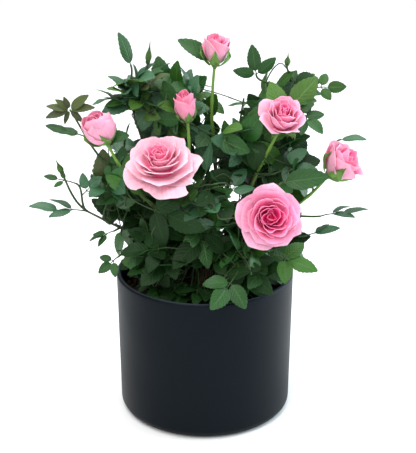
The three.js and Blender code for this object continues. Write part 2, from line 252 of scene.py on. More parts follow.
class Graph:
    """A material's node tree, built by calls that take numbers, colours and values."""

    def __init__(self, name, **settings):
        self.material = bpy.data.materials.new(name)
        self.material.use_nodes = True
        self.tree = self.material.node_tree
        self.shader = self.tree.nodes["Principled BSDF"]
        for socket, value in settings.items():
            self.shader.inputs[socket.replace("_", " ")].default_value = value

    def put(self, socket, value):
        if isinstance(value, Value):
            self.tree.links.new(value.socket, socket)
        elif isinstance(value, tuple) and len(value) == 3 and len(socket.default_value) == 4:
            socket.default_value = (*value, 1)
        else:
            socket.default_value = value

    def make(self, kind, inputs, output=0, **settings):
        """A node with these inputs, by number or name; gives one of its outputs."""
        made = self.tree.nodes.new(kind)
        for name, value in settings.items():
            setattr(made, name, value)
        for key, value in inputs.items():
            self.put(made.inputs[key], value)
        return Value(self, made.outputs[output])

    def math(self, operation, *values):
        return self.make("ShaderNodeMath", dict(enumerate(values)), operation=operation)

    def range(self, value, low, high, to_low=0.0, to_high=1.0):
        """value's place between low and high, eased and clamped."""
        inputs = dict(enumerate((value, low, high, to_low, to_high)))
        return self.make("ShaderNodeMapRange", inputs, interpolation_type="SMOOTHSTEP")

    def mix(self, factor, a, b, blend="MIX"):
        inputs = {0: factor, 6: a, 7: b}
        return self.make("ShaderNodeMix", inputs, 2, data_type="RGBA", blend_type=blend)

    def shaded(self, colour, tone):
        """A colour made lighter or darker by a factor."""
        return self.mix(1.0, colour, self.vector(tone, tone, tone), "MULTIPLY")

    def vector(self, x, y, z=0.0):
        return self.make("ShaderNodeCombineXYZ", {0: x, 1: y, 2: z})

    def part(self, vector, axis):
        """One of a vector's three parts."""
        return self.make("ShaderNodeSeparateXYZ", {0: vector}, axis)

    def uv(self):
        place = self.make("ShaderNodeUVMap", {}, uv_map="OFBake")
        return self.part(place, 0), self.part(place, 1)

    def object_place(self):
        return self.make("ShaderNodeTexCoord", {}, "Object")

    def noise(self, vector, scale, detail=3.0, roughness=0.5):
        inputs = {"Vector": vector, "Scale": scale, "Detail": detail, "Roughness": roughness}
        return self.make("ShaderNodeTexNoise", inputs)

    def chance(self, vector):
        """A random number that is the same wherever vector is."""
        inputs = {"Vector": vector}
        return self.make("ShaderNodeTexWhiteNoise", inputs, "Value", noise_dimensions="3D")

    def bump(self, height, strength, distance):
        inputs = {"Height": height, "Strength": strength, "Distance": distance}
        self.put(self.shader.inputs["Normal"], self.make("ShaderNodeBump", inputs))

    def finish(self, colour, roughness):
        self.put(self.shader.inputs["Base Color"], colour)
        self.put(self.shader.inputs["Roughness"], roughness)
        return self.material


LEAF_TILES = (4, 4)  # variants of a leaflet, across and up the UV square
PETAL_TILES = (4, 8)  # variants of a petal across, and rings from the heart outwards up
VEIN_PAIRS = 8


def tiles(graph, across, up):
    """Splits the UV square: (column, row, side, place across the face, place along it)."""
    u, v = graph.uv()
    wide, high = u * across, v * up
    half = graph.math("FRACT", wide) * 2.0
    return (
        graph.math("FLOOR", wide),
        graph.math("FLOOR", high),
        graph.math("GREATER_THAN", half, 1.0),
        graph.math("FRACT", half),
        graph.math("FRACT", high),
    )


def leaf_material(name, upper, lower, vein, gloss, shine=0.35):
    """Toothed rose leaflets: a pale midrib and side veins, a duller and paler lower face."""
    graph = Graph(name, Specular_IOR_Level=shine)
    column, row, side, across, along = tiles(graph, *LEAF_TILES)
    out = abs(across - 0.5)
    wave = graph.math("SINE", (along - out * 0.62) * (math.tau * VEIN_PAIRS))
    midrib, side_veins = graph.range(out, 0.012, 0.05, 1.0, 0.0), graph.range(wave, 0.86, 1.0)
    veins = graph.math("MAXIMUM", midrib, side_veins * 0.45)
    mottle = graph.noise(graph.vector(across + column, along + row, side), 7.0, 4.0)
    variant = graph.chance(graph.vector(column, row))
    shade = graph.range(variant, 0.0, 1.0, 0.68, 1.22) + (mottle - 0.5) * 0.55
    face = graph.shaded(graph.mix(side, upper, lower), shade)
    warm = graph.range(graph.chance(graph.vector(row, column, 3.0)), 0.7, 1.0, 0.0, 0.35)
    face = graph.mix(warm, face, tuple(0.6 * c + 0.4 * v for c, v in zip(upper, vein)))
    quilt = (wave + 1.0) * 0.5
    graph.bump(quilt * -0.5 - veins + mottle * 0.4, 0.55, 0.35 * MM)
    return graph.finish(graph.mix(veins * 0.32, face, vein), side * 0.22 + gloss + mottle * 0.12)


def petal_material(name, outer, heart, foot, rim, deep_until):
    """Velvety petals: the rings run from the heart's deep pink to pale outer ones, with painted shade
    low on the inner petals and edges paled partly by painted highlight.
    """
    graph = Graph(
        name,
        Specular_IOR_Level=0.2,
        Subsurface_Weight=0.4,
        Subsurface_Radius=(1.0, 0.6, 0.65),
        Subsurface_Scale=1.0 * MM,
    )
    column, row, side, across, along = tiles(graph, *PETAL_TILES)
    outward = row * (1 / (PETAL_TILES[1] - 1))
    colour = graph.mix(graph.range(outward, 0.0, deep_until, 1.0, 0.0), outer, heart)
    colour = graph.mix(side * 0.22, colour, rim)
    colour = graph.mix(graph.range(along, 0.05, 0.5, 0.85, 0.0) * outward, colour, foot)
    # Painted shade: the inner petals' upper faces turn a darker, deeper pink low down, where the petals
    # cup over each other.
    depth = graph.range(along, 0.3, 0.8, 0.7, 0.0) * graph.range(outward, 0.3, 0.95, 1.0, 0.15)
    colour = graph.mix(depth * (1.0 - side), colour, (heart[0], heart[1] * 0.6, heart[2] * 0.8))
    # Paler tips and side edges: partly the petals' own paler rim, partly a painted highlight where the
    # edges catch the light.
    end, sides = graph.range(along, 0.84, 1.0), graph.range(abs(across - 0.5), 0.4, 0.5)
    colour = graph.mix(graph.math("MAXIMUM", end, sides) * 0.3, colour, rim)
    lines = graph.vector((across - 0.5) * 26.0, along * 2.2, row + column)
    lines = graph.noise(lines, 1.0, 4.0, 0.6)
    blush = graph.noise(graph.vector(across + column, along, row), 2.4, 2.0)
    colour = graph.shaded(colour, (lines - 0.5) * 0.5 + (blush - 0.5) * 0.5 + 1.0)
    graph.bump(lines, 0.35, 0.25 * MM)
    return graph.finish(colour, graph.range(lines, 0.3, 0.7, 0.5, 0.62))


def stalk_material(name, young, old, blush):
    """Green bark: darker and woody at the foot, flushed red in streaks."""
    graph = Graph(name, Specular_IOR_Level=0.4)
    u, v = graph.uv()
    streaks = graph.noise(graph.vector(u * 40.0, v * 9.0), 1.0, 4.0)
    colour = graph.mix(graph.range(v, 0.35, 1.0), old, young)
    colour = graph.mix(graph.range(streaks, 0.5, 0.75) * 0.55, colour, blush)
    graph.bump(streaks, 0.5, 0.3 * MM)
    return graph.finish(colour, graph.range(streaks, 0.2, 0.8, 0.42, 0.6))


# ------------------------------------------------------------------------------ canes and stem


def rose_frame(name):
    """(base, axis, radius, depth) of a rose head, from its CAD node's two flat ends."""
    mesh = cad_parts[f"rose_{name}"].data
    flats = {}
    for polygon in mesh.polygons:
        key = tuple(round(x, 2) for x in polygon.normal)
        area, middle = flats.get(key, (0.0, np.zeros(3)))
        centre = np.array(polygon.center)
        flats[key] = (area + polygon.area, middle + polygon.area * centre)
    pairs = [
        (area * other_area, middle / area, other / other_area)
        for key, (area, middle) in flats.items()
        for opposite, (other_area, other) in flats.items()
        if other_area < area and norm(np.add(key, opposite)) < 0.05
    ]
    _, top, base = max(pairs, key=lambda pair: pair[0])
    axis = unit(top - base)
    points = corners_of(f"rose_{name}") - base
    along = points @ axis
    radius = norm(points - along[:, None] * axis, axis=1).max()
    return base, axis, radius, along.max()


ROSES = ("front_left", "front_right", "upper_right", "right", "top", "upper_centre", "left")
ROSE_FRAMES = {name: rose_frame(name) for name in ROSES}

# The way each cane arrives at its end, and its climb from the fork in mm, as in the CAD model.
CANE_BENDS = {
    "front_left": ((0.1, -0.35, 0.93), 46),
    "front_right": ((0.2, -0.6, 0.77), 34),
    "upper_right": ((0.42, -0.05, 0.9), 48),
    "right": ((0.6, 0, 0.8), 20),
    "top": ((0.12, 0, 1), 70),
    "upper_centre": ((-0.1, 0, 1), 60),
    "left": ((-0.36, -0.05, 0.93), 40),
    "low_left_leafy": ((-0.85, 0, 0.5), 14),
    "high_left_leafy": ((-0.2, 0, 0.98), 50),
    "high_right_leafy": ((0.35, 0.1, 0.93), 50),
    "back_left_leafy": ((-0.15, 0.25, 0.95), 44),
    "back_right_leafy": ((0.15, 0.25, 0.95), 44),
}


def middle_of(node):
    low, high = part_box(node)
    return np.array((low + high) / 2)


def ends_of(node, toward):
    """The root and tip of a spray's node, the ends of it along the way that it grows."""
    points = corners_of(node)
    along = points @ unit(toward)
    root = points[along < along.min() + 1.5 * MM].mean(0)
    return root, points[along.argmax()]


LEAFY_ENDS = {
    "low_left_leafy": ends_of("spray_left_far", (-1, 0, 0.05))[0],
    "high_left_leafy": middle_of("leaves_high_left"),
    "high_right_leafy": middle_of("leaves_high_right"),
    "back_left_leafy": middle_of("leaves_high_back_left"),
    "back_right_leafy": middle_of("leaves_high_back_right"),
}
STEM_POINTS = corners_of("stem")
STEM_HEAD = STEM_POINTS[STEM_POINTS[:, 2] > STEM_POINTS[:, 2].max() - 0.5 * MM].mean(0)


def cane_path(name, count=40):
    """A cane's centreline from the stem's head to its end."""
    neck, rise = CANE_BENDS[name]
    tip = ROSE_FRAMES[name][0] if name in ROSE_FRAMES else LEAFY_ENDS[name]
    outward = unit(tip * (1, 1, 0))
    base = STEM_HEAD + outward * 3 * MM - UP * 6 * MM
    climb = base + (outward * 0.45 + UP) * rise * MM
    approach = tip - unit(neck) * norm(tip - base) * 0.42
    return bezier(base, climb, approach, tip, count)


CANE_PATHS = {name: cane_path(name) for name in CANE_BENDS}


def add_thorn(pile, foot, ahead, out, length, place):
    """A flat-based thorn that hooks down towards the cane's foot, all at one place in the UV square."""
    side = np.cross(ahead, out)
    turn = np.linspace(0, math.tau, 7)[:, None]
    oval = (np.cos(turn) * ahead * 0.55 + np.sin(turn) * side * 0.2) * length
    rings = []
    for share in (0.0, 0.35, 0.7, 1.0):
        centre = foot + out * length * share - ahead * length * 0.45 * share**2
        rings.append(centre + oval * (1 - share) ** 1.3)
    points = np.array(rings)
    uv = np.full((points.shape[0] * points.shape[1], 2), place)
    pile.add(points.reshape(-1, 3), grid_faces(*points.shape[:2]), uv)


def build_canes():
    """Slightly wavy canes with a ring at each old leaf and scattered thorns."""
    rng = random.Random(11)
    foot_radius, neck_radius, leafy_end_radius, ring_height = 1.75, 1.0, 0.75, 0.35  # mm
    pile = Pile()
    names = list(CANE_PATHS)
    width = 1 / len(names)
    for index, name in enumerate(names):
        path = cane_path(name, 60)
        share = np.linspace(0, 1, len(path))
        leafy = name.endswith("leafy")
        end_radius = leafy_end_radius if leafy else neck_radius
        radii = (foot_radius * (1 - share) + end_radius * share) * MM
        for knot in [rng.uniform(0.0, 0.08) + 0.12 * k for k in range(1, 8)]:
            radii = radii + ring_height * MM * np.exp(-(((share - knot) / 0.012) ** 2))
        wander = np.stack([np.sin(share * 21 + rng.uniform(0, 6)) for _ in range(3)], 1)
        path = path + wander * 0.45 * MM * np.sin(share * math.pi)[:, None]
        height = 0.5 if leafy else 1  # a leafy cane keeps the colour of old bark up to its end
        add_tube(pile, path, radii, 12, (index * width, 0, width, height))
        ahead = np.gradient(path, axis=0)
        for _ in range(9):
            at = rng.randrange(8, 52)
            way = unit(ahead[at])
            out = turned(square_to(UP + 0.3, way), way, rng.uniform(0, math.tau))
            place = ((index + 0.5) * width, share[at] * height + 0.005)
            foot = path[at] + out * radii[at] * 0.8
            add_thorn(pile, foot, way, out, rng.uniform(1.8, 3) * MM, place)
    look = stalk_material("cane_bark", (0.15, 0.3, 0.04), (0.018, 0.028, 0.01), (0.1, 0.05, 0.02))
    pile.piece("canes", look, "cane", [f"cane_{name}" for name in names])


def build_stem():
    """A short woody stem with a flared, ridged foot and cracked bark."""
    level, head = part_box("stem")[0].z, STEM_HEAD
    foot = STEM_POINTS[STEM_POINTS[:, 2] < level + 0.5 * MM]
    radius = norm(foot[:, :2], axis=1).max()
    rows, sides = 26, 40
    share = np.linspace(0, 1, rows)[:, None]
    turn = np.linspace(0, math.tau, sides + 1)[None, :]
    flare = 0.62 + 0.38 * np.exp(-5 * share)
    ridges = 0.05 * np.sin(5 * turn + 2 * share) * (1 - 0.5 * share)
    cracks = 0.02 * np.sin(17 * turn + 3 * np.sin(6 * share)) + 0.012 * np.sin(31 * turn - 9 * share)
    size = radius * (flare + ridges * flare + cracks - 0.06)
    height = level + (head[2] - level) * share
    across, along = head[0] * share + size * np.cos(turn), head[1] * share + size * np.sin(turn)
    points = np.stack((across, along, height + 0 * turn), 2)
    dome = points[-1:] * (0.45, 0.45, 1) + (0.55 * head[0], 0.55 * head[1], 1.2 * MM)
    tip = np.broadcast_to(head + UP * 1.5 * MM, points[-1:].shape)
    points = np.concatenate((points, dome, tip))
    pile = Pile()
    faces = grid_faces(rows + 2, sides + 1)[:, ::-1]
    pile.add(points.reshape(-1, 3), faces, even_uv(rows + 2, sides + 1))
    graph = Graph("woody_bark", Specular_IOR_Level=0.25)
    u, v = graph.uv()
    cracks = graph.noise(graph.vector(u * 26.0, v * 5.0), 1.0, 6.0)
    colour = graph.mix(graph.range(cracks, 0.35, 0.65), (0.05, 0.032, 0.018), (0.2, 0.15, 0.09))
    graph.bump(cracks, 0.8, 0.8 * MM)
    pile.piece("stem_bark", graph.finish(colour, 0.85), "wood", ["stem"])


# ------------------------------------------------------------------------------ pot and soil


def arc(radius, level, size, start, end, steps):
    """Points on a circle of this size round (radius, level), from one angle to another in degrees."""
    angles = np.radians(np.linspace(start, end, steps))
    return [(radius + size * math.cos(a), level + size * math.sin(a)) for a in angles]


def build_pot():
    """The pot, turned smoothly from the CAD node's own sizes."""
    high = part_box("pot")[1]
    height, rim = high.z, high.x
    points = corners_of("pot")
    foot = norm(points[points[:, 2] < 0.2 * MM][:, :2], axis=1).max()
    wall, floor, corner, lip = 3.6 * MM, 6 * MM, 7.5 * MM, 1.8 * MM
    outer = foot + corner
    hollow, ring_width = 1.4 * MM, 8 * MM  # the underside's hollow, and the ring that it stands on
    ring = foot - ring_width
    profile = [(0, hollow), (ring - 1 * MM, hollow), (ring, 0), (foot - 1 * MM, 0)]
    profile += arc(outer - corner, corner, corner, -88, -3, 14)
    steps = np.linspace(0.12, 0.97, 16)
    profile += [(outer + (rim - outer) * s, corner + (height - lip - corner) * s) for s in steps]
    profile += arc(rim - lip, height - lip, lip, 0, 180, 13)
    inner = rim - wall
    profile += [(inner - 0.4 * MM * k, height - lip - 8 * MM * k) for k in range(1, 6)]
    profile += [(outer - wall, floor + corner), (outer - wall - 3 * MM, floor), (0, floor)]
    pile = Pile()
    add_lathe(pile, profile, 160)
    graph = Graph("matt_black_glaze", Specular_IOR_Level=0.1)
    graph.shader.inputs["Specular Tint"].default_value = (0.72, 0.88, 1.0, 1)
    place = graph.object_place()
    grain = graph.noise(place, 900.0, 3.0, 0.6)
    cloud = graph.noise(place, 22.0, 4.0)
    colour = graph.mix(cloud, (0.0018, 0.0030, 0.0046), (0.0034, 0.0055, 0.0082))
    # Painted highlight: a thin paler band round the top of the lip stands in for the light that the
    # rounded rim catches.
    painted_lip_highlight = graph.range(graph.part(place, 2), height - 0.5 * MM, height - 0.05 * MM)
    colour = graph.mix(painted_lip_highlight, colour, (0.03, 0.038, 0.046))
    rough = graph.range(cloud, 0.25, 0.75, 0.42, 0.5)
    graph.bump(cloud * 2.0 + grain * 0.35, 0.25, 0.12 * MM)
    pile.piece("pot_shell", graph.finish(colour, rough), "pot", ["pot"])


CRUMBS = 520


def build_soil():
    """Crumbly dark compost, with loose crumbs on it."""
    rng = np.random.default_rng(5)
    low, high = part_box("soil")
    rings, sides = 44, 110
    radius = high.x
    edge = high.z - 5 * MM
    share = np.linspace(0, 1, rings)[:, None]
    turn = np.linspace(0, math.tau, sides + 1)[None, :]
    rough = sum(
        np.sin(share * fx + fy * turn + rng.uniform(0, 6)) * size
        for fx, fy, size in ((17, 3, 0.7), (31, 8, 0.5), (53, 13, 0.4), (70, 21, 0.3))
    )
    grit = rng.normal(0, 0.35, (rings, sides + 1))
    grit[:, -1] = grit[:, 0]
    level = edge + (high.z - edge) * (1 - share**2) + (rough + grit) * MM * (share < 0.999) - 0.8 * MM
    across, along = radius * share * np.cos(turn), radius * share * np.sin(turn)
    points = np.stack((across, along, level + 0 * turn), 2)
    bottom = UP * (low.z + 20 * MM)  # the underside, hidden in the pot
    below = np.stack([points[-1] * (1, 1, 0) + bottom, points[0] * 0 + bottom])
    points = np.concatenate((points, below))
    pile = Pile()
    faces = grid_faces(rings + 2, sides + 1)
    pile.add(points.reshape(-1, 3), faces, even_uv(rings + 2, sides + 1))
    faces, corners = crumb_shape()
    for _ in range(CRUMBS):
        away = radius * 0.97 * math.sqrt(rng.uniform(0.015, 1))
        angle = rng.uniform(0, math.tau)
        size = rng.uniform(0.7, 2.2) * MM * rng.uniform(0.7, 1.3, 3)
        level = edge + (high.z - edge) * (1 - (away / radius) ** 2) - 0.3 * MM
        middle = np.array((away * math.cos(angle), away * math.sin(angle), level))
        crumb = corners * (1 + rng.uniform(-0.25, 0.25, (len(corners), 1))) * size
        pile.add(crumb + middle, faces, np.full((len(corners), 2), rng.uniform(0, 1, 2)))
    graph = Graph("compost", Specular_IOR_Level=0.2)
    place = graph.object_place()
    lumps, fine = graph.noise(place, 160.0, 5.0, 0.65), graph.noise(place, 900.0, 4.0)
    colour = graph.mix(graph.range(lumps, 0.35, 0.7), (0.011, 0.007, 0.0045), (0.05, 0.032, 0.02))
    graph.bump(lumps + fine * 0.5, 0.9, 1.0 * MM)
    pile.piece("soil_crumbs", graph.finish(colour, 0.95), "soil", ["soil"])


def crumb_shape():
    """(faces, corners) of an octahedron with its edges split once."""
    corners = [(1, 0, 0), (-1, 0, 0), (0, 1, 0), (0, -1, 0), (0, 0, 1), (0, 0, -1)]
    faces = [(0, 2, 4), (2, 1, 4), (1, 3, 4), (3, 0, 4), (2, 0, 5), (1, 2, 5), (3, 1, 5), (0, 3, 5)]
    corners = [np.array(c, float) for c in corners]
    split, halves = [], {}

    def half(a, b):
        key = (min(a, b), max(a, b))
        if key not in halves:
            halves[key] = len(corners)
            corners.append(unit(corners[a] + corners[b]))
        return halves[key]

    for a, b, c in faces:
        ab, bc, ca = half(a, b), half(b, c), half(c, a)
        split += [(a, ab, ca), (ab, b, bc), (ca, bc, c), (ab, bc, ca)]
    return np.array(split), np.array(corners)


# ------------------------------------------------------------------------------ roses

# Rings of petals from the heart outwards. Lengths are shares of the rose's radius, angles in degrees
# from its axis: petals leave their foot at lean and end at open, with the rim rolled back by curl.
RING_FIELDS = ("count", "length", "lean", "open", "curl", "span", "foot", "lift")
OPEN_ROSE = (
    (3, 0.44, 18, -6, 8, 122, 0.04, 0.36),
    (3, 0.5, 26, -2, 18, 108, 0.07, 0.33),
    (4, 0.58, 34, 4, 28, 88, 0.1, 0.29),
    (5, 0.66, 42, 12, 36, 74, 0.13, 0.24),
    (5, 0.76, 52, 24, 40, 66, 0.16, 0.2),
    (5, 0.88, 62, 42, 38, 60, 0.17, 0.16),
    (5, 1.02, 72, 62, 34, 58, 0.17, 0.12),
    (5, 1.14, 82, 80, 34, 56, 0.17, 0.09),
)
FACING_ROSE = (
    (2, 0.42, 26, -4, 4, 130, 0.05, 0.38),
    (2, 0.54, 38, 2, 12, 126, 0.09, 0.35),
    (3, 0.62, 46, 6, 20, 112, 0.13, 0.31),
    (3, 0.72, 52, 12, 26, 100, 0.16, 0.27),
    (4, 0.82, 56, 22, 32, 84, 0.18, 0.22),
    (4, 0.92, 62, 38, 34, 78, 0.19, 0.17),
    (5, 1.0, 68, 56, 36, 66, 0.19, 0.13),
    (5, 1.08, 76, 74, 36, 60, 0.18, 0.09),
)
CUP_ROSE = (
    (3, 0.9, 6, -12, 8, 130, 0.04, 0.3),
    (4, 0.95, 10, -8, 16, 105, 0.08, 0.28),
    (4, 1.0, 20, -8, 28, 96, 0.12, 0.24),
    (5, 1.05, 32, -6, 42, 80, 0.16, 0.2),
    (5, 1.1, 48, 4, 58, 70, 0.18, 0.16),
    (5, 1.15, 62, 30, 56, 62, 0.18, 0.12),
)
BUD_ROSE = (
    (3, 1.3, 6, -8, 6, 130, 0.05, 0.3),
    (3, 1.36, 14, -10, 14, 118, 0.1, 0.28),
    (3, 1.4, 24, -12, 26, 108, 0.15, 0.24),
    (4, 1.42, 36, -10, 40, 92, 0.18, 0.2),
    (4, 1.4, 48, 2, 56, 84, 0.2, 0.16),
)
EGG_BUD = (
    (3, 1.1, 6, -12, 4, 130, 0.05, 0.3),
    (3, 1.24, 20, -16, 6, 122, 0.12, 0.26),
    (3, 1.42, 34, -22, 10, 116, 0.18, 0.22),
    (3, 1.6, 50, -30, 18, 112, 0.22, 0.18),
    (4, 1.6, 64, -34, 30, 92, 0.24, 0.15),
)
GOBLET_BUD = (
    (3, 1.5, 6, -8, 6, 130, 0.06, 0.3),
    (3, 1.6, 18, -8, 14, 120, 0.12, 0.26),
    (3, 1.7, 30, -6, 24, 112, 0.18, 0.22),
    (4, 1.8, 40, -2, 40, 92, 0.22, 0.18),
    (4, 1.8, 46, 4, 56, 80, 0.24, 0.15),
)
TIGHT_BUD = (
    (3, 2.0, 5, -9, 4, 135, 0.06, 0.3),
    (3, 2.05, 12, -12, 8, 122, 0.12, 0.26),
    (3, 2.05, 26, -16, 20, 112, 0.18, 0.22),
    (3, 1.95, 38, -18, 34, 96, 0.22, 0.18),
)
ROSE_KINDS = {
    "front_left": (OPEN_ROSE, 0.3),
    "front_right": (FACING_ROSE, 1.1),
    "upper_right": (CUP_ROSE, 0.4),
    "right": (BUD_ROSE, 2.0),
    "top": (GOBLET_BUD, 0.9),
    "upper_centre": (TIGHT_BUD, 2.5),
    "left": (EGG_BUD, 3.6),
}

# Petals that hang out of the rose's outline: the way they point round its axis, their length, and
# the angle that they open to.
STRAY_PETALS = {
    "front_left": ((-86, 1.22, 96), (4, 1.26, 84)),
    "front_right": ((86, 1.16, 78), (-28, 1.16, 88)),
}


def petal_grid(ring, rng, rows=15, columns=15, narrow=False):
    """One petal in the rose's own space: z along the axis and x the way the petal opens."""
    fine = np.linspace(0, 1, 48)[:, None]
    s = np.linspace(-1, 1, columns)[None, :]
    angle = ring["lean"] + (ring["open"] - ring["lean"]) * smooth(fine)
    angle = angle + rng.uniform(-9, 9) * smooth(fine)
    roll = np.clip((fine - 0.66) / 0.34, 0, 1) ** 1.6
    angle = angle + ring["curl"] * roll * (1 + rng.uniform(-0.5, 0.5))
    edge = 0.35 * ring["curl"] * rng.uniform(0.6, 1.4)
    angle = angle + edge * np.abs(s) ** 2.5 * fine**1.5
    angle = angle + rng.uniform(-7, 7) * fine * np.sin(s * rng.uniform(1.5, 3) + rng.uniform(0, 6))
    radians = np.radians(angle)
    length = ring["length"] * rng.uniform(0.88, 1.08)
    step = length / len(fine)
    radius = ring["foot"] + np.cumsum(np.sin(radians), 0) * step
    height = ring["lift"] + np.cumsum(np.cos(radians), 0) * step
    t = np.linspace(0, 1, rows)
    point = rng.uniform(0.02, 0.1) * np.exp(-((s[0] / 0.16) ** 2))
    skew = rng.uniform(-0.08, 0.08) * s[0]
    reach = np.minimum(1 - 0.2 * np.abs(s[0]) ** 2.4 + point - point.max() + skew, 1)
    out = np.stack([np.interp(t * reach[j], fine[:, 0], radius[:, j]) for j in range(columns)], 1)
    high = np.stack([np.interp(t * reach[j], fine[:, 0], height[:, j]) for j in range(columns)], 1)
    t = t[:, None]
    spiral = 0.13 if ring["span"] > 70 else 0.08
    out = out * (1 + spiral * s) + 0.012 * s
    wide = 0.72 + 0.28 * np.sin(math.pi * np.clip(t, 0, 0.9) / 0.9)
    if narrow:
        wide = np.sin(math.pi * (0.14 + 0.84 * t**0.8)) ** 0.8
    turn = np.radians(ring["span"] * rng.uniform(0.9, 1.12)) * s * wide
    ruffle = 0.04 * rng.uniform(0.5, 1.5) * t**3 * np.sin(s * rng.uniform(3, 6) + rng.uniform(0, 6))
    ruffle = ruffle + 0.018 * t**4 * np.sin(s * rng.uniform(8, 12) + rng.uniform(0, 6))
    out = out + ruffle * math.cos(math.radians(ring["open"]))
    high = high + ruffle * math.sin(math.radians(ring["open"]))
    return np.stack((out * np.cos(turn), out * np.sin(turn), high), 2)


def turned_about_axis(grid, angle):
    cos, sin = math.cos(angle), math.sin(angle)
    x, y = grid[..., 0], grid[..., 1]
    return np.stack((x * cos - y * sin, x * sin + y * cos, grid[..., 2]), -1)


def placed(grid, base, axis, spin):
    """A grid in a rose's own space, moved into the row frame."""
    side = turned(square_to(np.array((1.0, 0.1, 0.0)), axis), axis, spin)
    other = np.cross(axis, side)
    return base + grid[..., :1] * side + grid[..., 1:2] * other + grid[..., 2:] * axis


PETAL_LOOKS = {
    # outer, heart, foot of a petal, rim and how far out the heart's deeper colour reaches
    "front_left": ((0.86, 0.48, 0.57), (0.92, 0.17, 0.36), (0.86, 0.56, 0.5), (0.92, 0.58, 0.67), 0.75),
    "front_right": ((0.86, 0.43, 0.58), (0.9, 0.04, 0.26), (0.86, 0.42, 0.48), (0.92, 0.55, 0.69), 1.15),
    "upper_right": ((0.86, 0.47, 0.6), (0.92, 0.09, 0.3), (0.86, 0.55, 0.52), (0.93, 0.57, 0.69), 1.1),
    "right": ((0.84, 0.34, 0.48), (0.86, 0.14, 0.32), (0.8, 0.5, 0.4), (0.9, 0.5, 0.62), 1.0),
    "top": ((0.86, 0.36, 0.5), (0.86, 0.14, 0.3), (0.76, 0.6, 0.4), (0.92, 0.52, 0.62), 1.0),
    "upper_centre": ((0.82, 0.27, 0.42), (0.8, 0.11, 0.25), (0.74, 0.58, 0.4), (0.9, 0.45, 0.57), 1.0),
    "left": ((0.81, 0.28, 0.43), (0.86, 0.18, 0.36), (0.84, 0.66, 0.52), (0.92, 0.6, 0.69), 1.0),
}


# Closed shapes as (radius, height) points: a rose's core, as shares of its radius and depth, and the
# hip below it, as shares of the hip's radius.
CORE = ((0, 0.03), (0.2, 0.06), (0.34, 0.15), (0.38, 0.26), (0.33, 0.4), (0.2, 0.52), (0, 0.56))
HIP = ((0, -0.6), (0.4, -0.6), (0.55, -0.3), (0.85, 0.15), (1, 0.6), (1, 1), (0.8, 1.25), (0, 1.3))


def build_rose(name, sepals):
    """A rose head's petals as one piece; its sepals and hip go onto the sepals' pile."""
    rings, spin = ROSE_KINDS[name]
    base, axis, radius, depth = ROSE_FRAMES[name]
    rng = random.Random(name)
    grids, order = [], []
    around = 0.0
    for index, values in enumerate(rings):
        ring = dict(zip(RING_FIELDS, values))
        around += GOLDEN
        for k in range(ring["count"]):
            turn = around + math.tau * k / ring["count"] + rng.uniform(-0.12, 0.12)
            grids.append(turned_about_axis(petal_grid(ring, rng), turn))
            order.append((index * (PETAL_TILES[1] - 1) // (len(rings) - 1), k))
    for turn, length, end_angle in STRAY_PETALS.get(name, ()):
        ring = dict(zip(RING_FIELDS, (1, length, 80, end_angle, 40, 44, 0.17, 0.09)))
        grids.append(turned_about_axis(petal_grid(ring, rng), math.radians(turn) - spin))
        order.append((PETAL_TILES[1] - 1, 0))
    every = np.concatenate([grid.reshape(-1, 3) for grid in grids])
    reach = np.percentile(norm(every[:, :2], axis=1), 99.5)
    top = every[:, 2].max()
    scale = np.array((radius / reach, radius / reach, depth / top)) * 0.97
    pile = Pile()
    columns, rows = PETAL_TILES
    for grid, (row, k) in zip(grids, order):
        tile = ((k % columns) / columns, row / rows, 1 / columns, 1 / rows)
        add_sheet(pile, placed(grid * scale, base, axis, spin), 0.32 * MM, tile)
    heart_tile = (0, 0.02, 0.06, 0.05)
    core = scaled(CORE, radius, depth)
    add_lathe(pile, core, 24, heart_tile, lambda grid: placed(grid, base, axis, spin))
    look = petal_material(f"petals_{name}", *PETAL_LOOKS[name])
    pile.piece(f"petals_{name}", look, "petal", [f"rose_{name}"])
    build_calyx(sepals, name, rng)


def build_calyx(pile, name, rng):
    """Five sepals with drawn-out tips round a swollen green hip."""
    rings, spin = ROSE_KINDS[name]
    base, axis, radius, _ = ROSE_FRAMES[name]
    is_open = rings in (OPEN_ROSE, FACING_ROSE)
    is_cup = rings is CUP_ROSE
    lean, way, curl = (70, 150, 30) if is_open else (60, 105, 50) if is_cup else (58, -12, 14)
    long = 0.62 if is_open else 0.8 if is_cup else 1.65 if rings is GOBLET_BUD else 1.35
    ring = dict(zip(RING_FIELDS, (5, long, lean, way, curl, 30, 0.16, 0.16)))
    if not (is_open or is_cup):
        ring["span"], ring["foot"], ring["lift"] = 27, 0.28, 0.08
    for k in range(5):
        grid = petal_grid(ring, rng, 12, 7, narrow=True)
        grid = turned_about_axis(grid, GOLDEN + k * math.tau / 5 + rng.uniform(-0.1, 0.1))
        add_sheet(pile, placed(grid * radius, base, axis, spin), 0.5 * MM, WHOLE_TILE)
    hip = radius * (0.17 if is_open else 0.24)
    add_lathe(pile, scaled(HIP, hip, hip), 18, place=lambda grid: placed(grid, base, axis, spin))


# ------------------------------------------------------------------------------ leaves

LEAF_ROWS = 17
LEAF_U = np.linspace(0, 1, LEAF_ROWS)[:, None]
LEAF_V = np.array((-1, -0.55, 0, 0.55, 1))[None, :]
TEETH = (np.arange(LEAF_ROWS) % 2)[:, None] * (np.abs(LEAF_V) == 1)
LEAF_OUTLINE = LEAF_U**0.6 * (1 - LEAF_U) ** 0.88
LEAF_OUTLINE = LEAF_OUTLINE / LEAF_OUTLINE.max()

